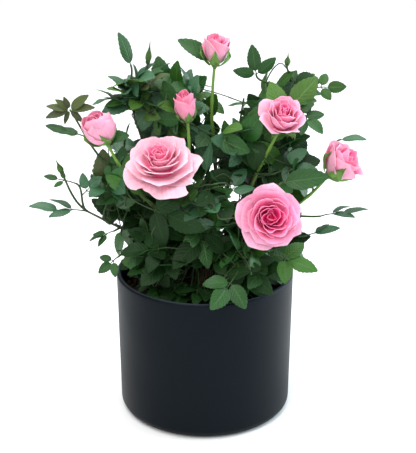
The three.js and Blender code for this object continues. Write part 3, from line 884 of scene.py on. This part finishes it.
LEAF_LOOKS = {
    # upper face, lower face, veins, roughness and specular level
    # deep is the darkest copy, a painted shade for leaves inside and low in the crown; blue is a bluer,
    # paler green, partly a painted sheen for leaves high up.
    "deep": ((0.006, 0.032, 0.004), (0.02, 0.052, 0.012), (0.022, 0.07, 0.014), 0.48, 0.2),
    "mid": ((0.019, 0.088, 0.015), (0.055, 0.13, 0.055), (0.07, 0.18, 0.04), 0.38, 0.34),
    "lush": ((0.027, 0.112, 0.009), (0.06, 0.15, 0.05), (0.09, 0.21, 0.03), 0.4, 0.34),
    "blue": ((0.036, 0.12, 0.052), (0.1, 0.18, 0.1), (0.1, 0.22, 0.1), 0.34, 0.46),
    "fresh": ((0.062, 0.165, 0.018), (0.11, 0.22, 0.045), (0.14, 0.28, 0.06), 0.42, 0.4),
    "bronze": ((0.06, 0.085, 0.022), (0.11, 0.1, 0.05), (0.16, 0.12, 0.05), 0.42, 0.4),
}
SEPAL_LOOK = ((0.12, 0.26, 0.045), (0.15, 0.3, 0.07), (0.22, 0.36, 0.1), 0.42)
BUD_LOOK = ((0.04, 0.1, 0.015), (0.04, 0.1, 0.015), (0.07, 0.13, 0.03), 0.42)
TWIG_LOOK = ((0.028, 0.075, 0.012), (0.018, 0.04, 0.008), (0.05, 0.03, 0.012))  # young, old, blush


class Foliage:
    """Gathers leaflets by colour, the stalks that carry them and the joints that new stalks leave."""

    def __init__(self, rng):
        self.rng = rng
        self.leaflets = {look: Pile() for look in LEAF_LOOKS}
        self.stalks = Pile()
        self.joints = []

    def leaflet(self, origin, ahead, normal, length, look, width=0.57, bend=None, keep_inside=False):
        """A toothed leaflet, folded along its midrib and bent down towards its tip; False if there
        is no room for it."""
        rng = self.rng
        middle, tip = origin + ahead * length * 0.5, origin + ahead * length
        if touches_a_rose(middle, length * 0.3) or touches_a_rose(tip, length * 0.1):
            return False
        if keep_inside and (
            crown_depth(origin + ahead * length * 0.85) < -OVERHANG
            or in_a_gap(middle, margin=length * 0.24)
            or hides_a_neck(middle)
        ):
            return False
        normal = square_to(normal, ahead)
        across = np.cross(normal, ahead)
        bend = rng.uniform(0.15, 0.85) if bend is None else bend
        fold = math.radians(rng.uniform(8, 28))
        half = length * width * rng.uniform(0.9, 1.1) / 2 * LEAF_OUTLINE
        grow = 1 + TEETH * 0.075 - (np.abs(LEAF_V) == 1) * 0.03
        sideways = half * LEAF_V * grow
        travel = LEAF_U + TEETH * 0.014
        wave = rng.uniform(0.03, 0.1) * np.sin(LEAF_U * rng.uniform(7, 13) + rng.uniform(0, 6))
        cup = math.tan(fold) * np.abs(LEAF_V) - 0.22 * LEAF_V**2 + wave * np.abs(LEAF_V) ** 3
        lift = half * cup
        turn = bend * (travel - 0.5)
        along = length * (np.sin(turn) + math.sin(bend / 2)) / bend + lift * np.sin(turn)
        up = length * (np.cos(turn) - math.cos(bend / 2)) / bend + lift * np.cos(turn)
        twist = rng.uniform(-0.25, 0.25) * LEAF_U
        shifted = sideways * np.cos(twist)
        up = up + sideways * np.sin(twist)
        along, shifted, up = along[..., None], shifted[..., None], up[..., None]
        grid = origin + along * ahead + shifted * across + up * normal
        columns, rows = LEAF_TILES
        tile = (rng.randrange(columns) / columns, rng.randrange(rows) / rows, 1 / columns, 1 / rows)
        add_sheet(self.leaflets[look], grid, 0.3 * MM, tile)
        return True

    def stalk(self, path, start, end, sides=6):
        radii = np.linspace(start, end, len(path))
        add_tube(self.stalks, path, radii, sides, (0, 0.35, 1, 0.65))

    def leaf(self, root, tip, normal, pairs=1, look="mid", droop=0.12, share=0.54, splay=60,
             first=0.76, **habit):
        """A whole leaf: a stalk with an end leaflet and pairs of side leaflets."""
        rng = self.rng
        span = tip - root
        length = norm(span)
        ahead = unit(span)
        normal = square_to(normal, ahead)
        end_length = min(length * share, 35 * MM)
        rachis = length - end_length * 0.96
        stalk_end = root + ahead * rachis
        sag = droop * length
        middle = (root + stalk_end) / 2 + normal * sag * 0.6
        path = bezier(root, (root + middle) / 2 + normal * sag * 0.2, middle, stalk_end, 8)
        face = turned(normal, ahead, rng.uniform(-0.35, 0.35))
        way = unit(ahead + normal * rng.uniform(-0.12, 0.12))
        if not self.leaflet(stalk_end, way, face, end_length, look, **habit):
            return False
        self.stalk(path, 0.55 * MM, 0.36 * MM, 5)
        for pair in range(pairs):
            at = path[int((first - 0.42 * pair) * 7 + 0.5)]
            size = end_length * (0.86 - 0.12 * pair) * rng.uniform(0.9, 1.08)
            for side in (-1, 1):
                angle = side * math.radians(splay + rng.uniform(-10, 10))
                way = turned(ahead, normal, angle)
                way = unit(way + normal * rng.uniform(-0.25, 0.15) - UP * 0.08)
                foot = at + way * 1.6 * MM
                face = turned(normal, ahead, side * rng.uniform(-0.45, 0.2))
                if self.leaflet(foot, way, face, size * rng.uniform(0.94, 1.06), look, **habit):
                    self.stalk(np.array([at, (at + foot) / 2, foot]), 0.4 * MM, 0.34 * MM, 5)
        return True


CLEAR_VIEW = 30 * MM  # how far in front of a rose no leaf stands
OVERHANG = 4.5 * MM  # how far a leaf may stand out of the CAD model's leaf masses
ROSE_SPACES = [
    (base + axis * depth * 0.55, axis, radius, depth)
    for base, axis, radius, depth in ROSE_FRAMES.values()
]


def touches_a_rose(point, margin):
    """True inside a rose head, or in the clear space that it looks out on."""
    for middle, axis, radius, depth in ROSE_SPACES:
        away = point - middle
        along = away @ axis
        aside = norm(away - along * axis)
        widest = min(0.94, 0.35 + 0.6 * smooth((along + depth * 0.6) / depth))
        level = -depth * 0.6 - margin * 0.5 < along < depth * 0.6 + CLEAR_VIEW
        if level and aside < radius * widest + margin * 0.6:
            return True
    return False


# Gaps in the crown, as the camera sees it: each lies between two nodes, at a share of the way, and
# reaches this far sideways and up and down, in mm.
GAPS = (
    ("rose_top", "rose_upper_right", 0.4, 13, 9),
    ("rose_upper_centre", "rose_upper_right", 0.5, 7, 7),
    ("rose_left", "spray_left_far", 0.5, 12, 17),
    ("rose_front_left", "spray_left_inner", 0.95, 9, 6),
    ("rose_right", "spray_low_right", 0.55, 11, 24),
    ("rose_front_left", "rose_front_right", 0.66, 3, 3),
    ("rose_left", "rose_upper_centre", 0.3, 7, 5),
)
BARE_NECKS = [CANE_PATHS[name][-14:] for name in ("upper_right", "upper_centre", "top")]


def seen(point):
    """A point's place across and up, as seen from the front and above."""
    rise = point[..., 1] * math.tan(VIEW_ELEVATION)
    return np.stack((point[..., 0], point[..., 2] + rise), -1)


def gap_middle(first, second, share):
    a, b = middle_of(first), middle_of(second)
    return seen(a + (b - a) * share)


GAP_MIDDLES = np.array([gap_middle(*values[:3]) for values in GAPS])
GAP_SIZES = np.array([values[3:] for values in GAPS]) * MM


def in_a_gap(points, scale=1.0, margin=0.0):
    """True if one of the points is seen in a gap of the crown, with the gaps made this much larger."""
    away = (seen(points)[..., None, :] - GAP_MIDDLES) / (GAP_SIZES * scale + margin)
    return bool((norm(away, axis=-1) < 1).any())


def hides_a_neck(point):
    """True just in front of a bare flower stalk."""
    for path in BARE_NECKS:
        near = norm(seen(path) - seen(point), axis=1)
        if near.min() < 8 * MM and point[1] < path[near.argmin()][1] + 4 * MM:
            return True
    return False


CANE_POINTS = np.concatenate([path[6:] for path in CANE_PATHS.values()])
CANE_WAYS = np.concatenate([np.gradient(path, axis=0)[6:] for path in CANE_PATHS.values()])


def nearest_cane(point, rise=4 * MM):
    """The cane point that a twig to this point best starts from, and the cane's way there. One that
    the twig would not rise this far from counts as 30 mm further off."""
    away = point - CANE_POINTS
    cost = norm(away * (1, 1, 0.8), axis=1) + (away[:, 2] < rise) * 30 * MM
    best = int(cost.argmin())
    return CANE_POINTS[best], unit(CANE_WAYS[best])


CROWN_NODES = [name for name in sorted(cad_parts) if name.startswith("leaves_")]


def crown_meshes():
    """Every leaf mass as one searchable mesh: (corners, triangles, search tree)."""
    corners, faces, count = [], [], 0
    for name in CROWN_NODES:
        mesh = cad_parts[name].data
        mesh.calc_loop_triangles()
        corners.append(corners_of(name))
        faces += [tuple(v + count for v in triangle.vertices) for triangle in mesh.loop_triangles]
        count += len(mesh.vertices)
    corners = np.concatenate(corners)
    return corners, np.array(faces), BVHTree.FromPolygons([Vector(c) for c in corners], faces)


CROWN_CORNERS, CROWN_FACES, CROWN_TREE = crown_meshes()


def crown_depth(point):
    """How deep a point lies in the leaf masses, negative outside them."""
    where, normal, _, away = CROWN_TREE.find_nearest(Vector(point))
    return -away if (Vector(point) - where).dot(normal) > 0 else away


def crown_targets(rng, spacing):
    """Points spread over the crown's outside, wider apart behind, each with the surface's normal."""
    a, b, c = (CROWN_CORNERS[CROWN_FACES[:, k]] for k in range(3))
    across = np.cross(b - a, c - a)
    areas = norm(across, axis=1)
    picks = rng.choices(range(len(areas)), areas, k=6000)
    found = []
    for pick in picks:
        u, v = rng.random(), rng.random()
        if u + v > 1:
            u, v = 1 - u, 1 - v
        point = a[pick] + u * (b[pick] - a[pick]) + v * (c[pick] - a[pick])
        normal = across[pick] / areas[pick]
        if crown_depth(point + normal * 7 * MM) > -OVERHANG:
            continue
        apart = spacing * (1 + 0.4 * smooth((point[1] - 25 * MM) / (30 * MM)))
        if all(norm(point - other) > apart for other, _ in found):
            found.append((point, normal))
    return found


LIGHT_WAY = unit((-0.15, -0.8, 0.7))  # leaves turn their faces to the light in front


def leaf_look(rng, place, depth):
    """Young leaves stand on the outside and high up. Leaves deep in the crown take the darkest look, a
    painted shade; higher ones take paler, bluer looks, partly a painted sheen of the light from above.
    """
    height = smooth((place[2] - 120 * MM) / (130 * MM))
    # Height lifts the draw towards the paler looks, a painted sheen; depth inside the crown lowers it
    # towards the darkest, a painted shade.
    draw = rng.random() * 0.86 + 0.6 * height - 0.24 - depth / (18 * MM)
    if draw > 1.06:
        return "fresh"
    if rng.random() < 0.03 * height:
        return "bronze"
    if draw > 0.7:
        return "blue"
    if draw > 0.34:
        return "lush" if rng.random() < 0.25 else "mid"
    return "deep"


STALK_REACH = 46 * MM  # the longest way from a joint to a leaf's root
STALK_GAP_SCALE = 1.1  # stalks keep a little further from the gaps than leaves


def scatter_of(rng, size):
    return np.array([rng.uniform(-size, size) for _ in range(3)])


def grow_twigs(foliage, middle, half, count):
    """Twigs from the nearest canes into a leaf mass, with leaves inside it."""
    rng = foliage.rng
    spin = rng.uniform(0, 6)
    for k in range(count):
        height = 1 - 2 * (k + 0.5) / count
        ring = math.sqrt(1 - height * height)
        turn = GOLDEN * k + spin
        way = np.array((ring * math.cos(turn), ring * math.sin(turn), height))
        end = middle + half * way * 0.5
        start, cane_way = nearest_cane(end)
        reach = norm(end - start)
        path = bezier(start, start + cane_way * reach * 0.35, end - way * reach * 0.3, end, 14)
        if in_a_gap(path[4:], STALK_GAP_SCALE):
            continue
        grown = 0
        for share in (0.6, 1.0):
            root = path[int(share * 13)]
            direction = unit(way * 0.6 + UP * 0.3 + scatter_of(rng, 0.8))
            normal = unit(UP * 0.8 + way * 0.4 + scatter_of(rng, 0.4))
            tip = root + direction * rng.uniform(30, 42) * MM
            look = leaf_look(rng, tip, max(crown_depth(tip), 0))
            if foliage.leaf(root, tip, normal, 1, look, keep_inside=True):
                grown = int(share * 13)
        if grown:
            foliage.stalk(path[: grown + 1], 0.85 * MM, 0.5 * MM, 6)
            foliage.joints += [path[i] for i in range(5, grown + 1, 2)]


def grow_outer_leaf(foliage, target, normal):
    """A leaf whose tip lies at a point of the crown's surface, on a stalk from the nearest twig."""
    rng = foliage.rng
    radial = unit((target - CROWN_MIDDLE) * (1, 1, 0.8))
    best = None
    for _ in range(7):
        way = unit(normal * 0.35 + radial * 0.55 + UP * 0.12 + scatter_of(rng, 0.75))
        face = square_to(UP * 0.25 + LIGHT_WAY * 0.6 + normal * 0.5 + scatter_of(rng, 0.38), way)
        across = np.cross(face, way)
        length = rng.uniform(36, 56) * MM
        tip = target + normal * 1.5 * MM
        root = tip - way * length
        sides = [root + way * length * 0.62 + across * side * length * 0.42 for side in (-1, 1)]
        inside = [min(crown_depth(point), 2 * MM) for point in (root, *sides)]
        score = sum(inside) + min(inside)
        if best is None or score > best[0]:
            best = (score, root, tip, face)
    _, root, tip, face = best
    path = stalk_path(foliage.joints, root, unit(tip - root))
    if path is None:
        return
    pairs = 2 if rng.random() < 0.45 and norm(tip - root) > 44 * MM else 1
    if foliage.leaf(root, tip, face, pairs, leaf_look(rng, tip, 0), keep_inside=True):
        foliage.stalk(path, 0.55 * MM, 0.42 * MM, 5)
        foliage.joints.append(root)


def stalk_path(joints, root, ahead):
    """A curve to a leaf's root from the nearest joint that needs no way across a gap."""

    def cost(joint):
        away = root - joint
        return norm(away) * 1.25 - 0.35 * (away @ ahead) + 0.4 * abs(away[2])

    for joint in sorted(joints, key=cost)[:10]:
        reach = norm(root - joint)
        path = bezier(joint, joint + UP * reach * 0.22, root - ahead * reach * 0.3, root, 9)
        if reach < STALK_REACH and not in_a_gap(path, STALK_GAP_SCALE):
            return path
    return None


LUSH, BLUE = {"look": "lush"}, {"look": "blue"}
# Leaves on the outline: the way each one grows, the way its upper face looks, and its habit.
SPRAYS = {
    "top_left": ((-0.2, 0.05, 1), (0.5, -1, 0.2), dict(pairs=0, share=1, width=0.4)),
    "top_bloom": ((-0.75, 0, 0.6), (0.1, -0.6, 0.8), dict(pairs=0, share=1, width=0.5)),
    "top_right_leaf": ((-0.25, 0.1, 1), (0.4, -1, 0.1), dict(share=0.9, first=0.3, width=0.54)),
    "right_high": ((1, 0, 0.12), (0.1, -0.8, 0.5), dict(LUSH, share=0.68, width=0.66, first=0.45)),
    "right_upper": ((0.75, -0.4, -0.65), (0.5, -0.8, 0.5), dict(share=0.7)),
    "right_front": ((1, 0, 0.1), (0.1, -0.7, 0.7), dict(pairs=0, share=1, width=0.52)),
    "right_tip": ((1, -0.1, 0.1), (0.1, -0.4, 0.9), dict(BLUE, pairs=0, share=1)),
    "right_far": ((1, 0, 0.08), (0, -0.1, 1), dict(BLUE, share=0.55, splay=18, first=0.5, width=0.45)),
    "right_low": ((0.95, 0, 0.3), (0, -0.2, 1), dict(BLUE, share=0.6, splay=20, first=0.5, width=0.5)),
    "low_right": ((0.95, -0.25, -0.2), (0.1, -0.7, 0.7), dict(LUSH, share=0.8)),
    "front": ((-0.65, -0.55, -0.6), (0, -0.75, 0.65), dict(share=0.66)),
    "low_left": ((-0.8, -0.5, -0.3), (-0.3, -0.7, 0.65), dict(share=0.65)),
    "left_far": ((-1, 0, 0.05), (0, -0.3, 0.95), dict(BLUE, share=0.5, splay=16, first=0.5, width=0.46)),
    "left_inner": ((-0.9, -0.3, -0.3), (0, -0.2, 0.95), dict(share=0.6, splay=30)),
    "left_bud": ((-1, 0, 0.25), (-0.2, -0.5, 0.8), dict(share=0.45, width=0.5)),
    "left_mid": ((-1, 0, 0.2), (-0.1, -0.25, 0.95), dict(share=0.55, splay=24, first=0.4, width=0.5)),
    "back_high": ((-0.5, 0.8, 0.35), (-0.2, 0.6, 0.8), dict(share=0.6)),
    "back_low": ((0.5, 0.85, -0.1), (0.1, 0.6, 0.8), dict(look="deep", share=0.6)),
}
GREEN_BUDS = {"bud_top_left": (0.15, 0, 1), "bud_top_right": (0.1, 0, 1)}
# A green bud's outline up to its beak, as shares of its radius and height.
BUD = (
    (0, 0), (0.35, 0), (0.62, 0.04), (0.8, 0.1), (0.7, 0.15), (0.95, 0.24), (1, 0.34), (0.8, 0.47),
    (0.42, 0.6), (0.2, 0.74), (0.12, 0.9), (0, 1),
)


def grow_spray(foliage, name):
    """One leaf of the outline, on a stalk from the nearest cane."""
    growing, facing, habit = SPRAYS[name]
    root, tip = ends_of(f"spray_{name}", growing)
    start, way = nearest_cane(root, 0)
    reach = norm(root - start)
    ahead = unit(tip - root)
    path = bezier(start, start + (way + ahead) * reach * 0.15, root - ahead * reach * 0.3, root, 12)
    foliage.stalk(path, 0.95 * MM, 0.72 * MM, 7)
    bend = foliage.rng.uniform(0.2, 0.5)
    foliage.leaf(root, tip, unit(facing), droop=0.06, bend=bend, **habit)
    if "left" in name:
        grow_along(foliage, path)


def grow_along(foliage, path):
    """Small leaves along a long bare stalk, most of them turned back towards the crown."""
    rng = foliage.rng
    count = int(norm(path[-1] - path[0]) / (15 * MM))
    for k in range(count):
        foot = path[int((k + 0.6) / count * (len(path) - 1))]
        side = -1 if k % 2 else 1
        inward = -unit(foot * (1, 1, 0))
        way = unit(inward * 0.6 + UP * 0.55 * side + (0, -0.2, 0) + scatter_of(rng, 0.4))
        look = "blue" if rng.random() < 0.3 else "mid"
        length = rng.uniform(20, 30) * MM
        face = LIGHT_WAY + scatter_of(rng, 0.4)
        foliage.leaf(foot, foot + way * length, face, 1, look, share=0.64)


def grow_low_leaves(foliage, count):
    """Leaves that lie out over the soil and the rim from the canes' feet, most of them in the darkest
    look as painted shade under the crown.
    """
    rng = foliage.rng
    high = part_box("soil")[1]
    for k in range(count):
        turn = GOLDEN * k
        outward = np.array((math.cos(turn), math.sin(turn), 0.0))
        inner, outer = rng.uniform(14, 34) * MM, high.x - rng.uniform(1, 12) * MM
        root = outward * inner + UP * (high.z + rng.uniform(5, 15) * MM)
        tip = outward * outer + UP * (high.z + rng.uniform(1, 12) * MM)
        face = unit(UP + outward * 0.5 + scatter_of(rng, 0.35))
        # Most take the darkest look: painted shade under the crown.
        look = "mid" if rng.random() < 0.3 else "deep"
        if foliage.leaf(root, tip, face, 1, look, share=0.6):
            start, _ = nearest_cane(root, 0)
            path = bezier(start, start + UP * 3 * MM, root - outward * 4 * MM, root, 9)
            foliage.stalk(path, 0.7 * MM, 0.5 * MM, 6)


# The young shoot's leaflets: the way each points, in degrees seen from the front, and its length in mm.
WHORL = ((168, 16), (197, 17), (140, 12), (110, 10), (40, 18), (8, 18), (-42, 12), (250, 10))


def grow_young_shoot(foliage):
    """A new shoot on the left that ends in a whorl of small narrow olive leaves."""
    root, tip = ends_of("spray_left_shoot", (-0.8, 0, 0.6))
    end = root + (tip - root) * 0.42
    start, _ = nearest_cane(root + np.array((22, 0, -36)) * MM, 0)
    path = bezier(start, root + np.array((6, 0, -34)) * MM, end + np.array((9, 0, -14)) * MM, end, 16)
    foliage.stalk(path, 0.95 * MM, 0.7 * MM, 7)
    grow_along(foliage, path[:12])
    for angle, length in WHORL:
        turn = math.radians(angle)
        ahead = unit((math.cos(turn), -0.25, math.sin(turn)))
        foliage.leaflet(end + ahead * 1.2 * MM, ahead, LIGHT_WAY, length * MM, "bronze", 0.4)


def grow_green_bud(buds, foliage, name):
    """An unopened bud on its own stalk, its sepals drawn out to a beak."""
    if name in GREEN_BUDS:
        root, tip = ends_of(f"spray_{name}", GREEN_BUDS[name])
    else:
        root, tip = ends_of(f"spray_{name}", SPRAYS[name][0])
        root, tip = root + (tip - root) * 0.3, root + (tip - root) * 0.62 + UP * 15 * MM
    start, way = nearest_cane(root, 0)
    length = norm(tip - root)
    axis = unit(tip - root)
    neck = root + axis * length * 0.32
    foliage.stalk(bezier(start, start + way * 12 * MM, root, neck, 14), 0.9 * MM, 0.75 * MM, 7)
    body = scaled(BUD, 2.3 * MM, length * 0.68)
    add_lathe(buds, body, 16, place=lambda grid: placed(grid, neck, axis, 0.4))


TIP_SPACING = 13 * MM  # between the tips of the outer leaves
LOW_LEAVES = 44


def build_foliage():
    """Everything green above the canes, and the roses' petals."""
    rng = random.Random(23)
    foliage = Foliage(rng)
    sepals, buds = Pile(), Pile()
    for name in ROSES:
        build_rose(name, sepals)
    for name in SPRAYS:
        grow_spray(foliage, name)
    for name in (*GREEN_BUDS, "left_bud"):
        grow_green_bud(buds, foliage, name)
    for name in CROWN_NODES:
        low, high = (np.array(corner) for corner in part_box(name))
        is_high = low[2] > 180 * MM
        grow_twigs(foliage, (low + high) / 2, (high - low) / 2, 3 if is_high else 6)
    # The space between the leaf masses is grown too.
    grow_twigs(foliage, CROWN_MIDDLE + UP * 24 * MM, np.array((26, 24, 30)) * MM, 6)
    grow_low_leaves(foliage, LOW_LEAVES)
    grow_young_shoot(foliage)
    for target, normal in crown_targets(rng, TIP_SPACING):
        grow_outer_leaf(foliage, target, normal)
    bud_nodes = [f"spray_{name}" for name in GREEN_BUDS]
    sepals.piece("sepals", leaf_material("sepal_green", *SEPAL_LOOK), "cane")
    buds.piece("green_buds", leaf_material("bud_green", *BUD_LOOK), "cane", bud_nodes)
    foliage.stalks.piece("twigs", stalk_material("leaf_stalks", *TWIG_LOOK), "cane")
    nodes = [name for name in sorted(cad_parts) if name.startswith(("leaves_", "spray_"))]
    nodes = [name for name in nodes if name not in bud_nodes]
    for look, pile in foliage.leaflets.items():
        material = leaf_material(f"leaf_{look}", *LEAF_LOOKS[look])
        pile.piece(f"leaves_{look}", material, "leaf", nodes if look == "mid" else ())


# ------------------------------------------------------------------------------ stage

PLANT_MIDDLE = (0, 0, 0.16)  # what the lights look at
LIGHTS = (
    # name, place, width and height, watts, colour
    ("top", (-0.1, 0.15, 1.6), (2.2, 2.2), 46, (1, 1, 1)),
    ("key", (-0.5, -1.1, 1.2), (0.8, 0.8), 10, (1, 1, 1)),
    ("front", (0.3, -1.5, 0.55), (1.0, 0.7), 3, (1, 1, 1)),
    ("left", (-1.3, 0.8, 0.45), (0.7, 1.1), 0.8, (0.72, 0.9, 1)),
    ("right", (1.45, 0.35, 0.5), (1.5, 1.1), 36, (0.76, 0.92, 1)),
)


def area_light(name, place, size, power, colour):
    light = bpy.data.lights.new(name, "AREA")
    light.shape = "RECTANGLE"
    light.size, light.size_y = size
    light.energy = power
    light.color = colour
    thing = put_in_scene(name, light)
    thing.location = place
    way = Vector(PLANT_MIDDLE) - Vector(place)
    thing.rotation_euler = way.to_track_quat("-Z", "Y").to_euler()


def build_stage():
    """A plain pale floor under soft lights."""
    mesh = bpy.data.meshes.new("floor")
    corners = [(4.0 * x, 4.0 * y, 0) for x, y in ((-1, -1), (1, -1), (1, 1), (-1, 1))]
    mesh.from_pydata(corners, [], [(0, 1, 2, 3)])
    floor = put_in_scene("floor", mesh)
    graph = Graph("white_floor", Specular_IOR_Level=0.1)
    mesh.materials.append(graph.finish((0.92, 0.92, 0.92), 0.9))
    world = bpy.data.worlds.new("studio")
    world.use_nodes = True
    backdrop = world.node_tree.nodes["Background"]
    backdrop.inputs[0].default_value = (1, 1, 1, 1)
    backdrop.inputs[1].default_value = 0.3
    bpy.context.scene.world = world
    for values in LIGHTS:
        area_light(*values)


def build_camera():
    """The viewpoint: a metre away and 21 degrees above the level."""
    target, distance = Vector((2.3 * MM, 0.0, 141 * MM)), 1.0
    camera = bpy.data.cameras.new("camera")
    camera.sensor_width = 36
    camera.lens = 109.1
    thing = put_in_scene("camera", camera)
    way = Vector((0, -math.cos(VIEW_ELEVATION), math.sin(VIEW_ELEVATION)))
    thing.location = target + way * distance
    thing.rotation_euler = (math.pi / 2 - VIEW_ELEVATION, 0, 0)
    bpy.context.scene.camera = thing
    bpy.context.scene.view_settings.view_transform = "Standard"


build_stage()
build_camera()
build_pot()
build_soil()
build_stem()
build_canes()
build_foliage()
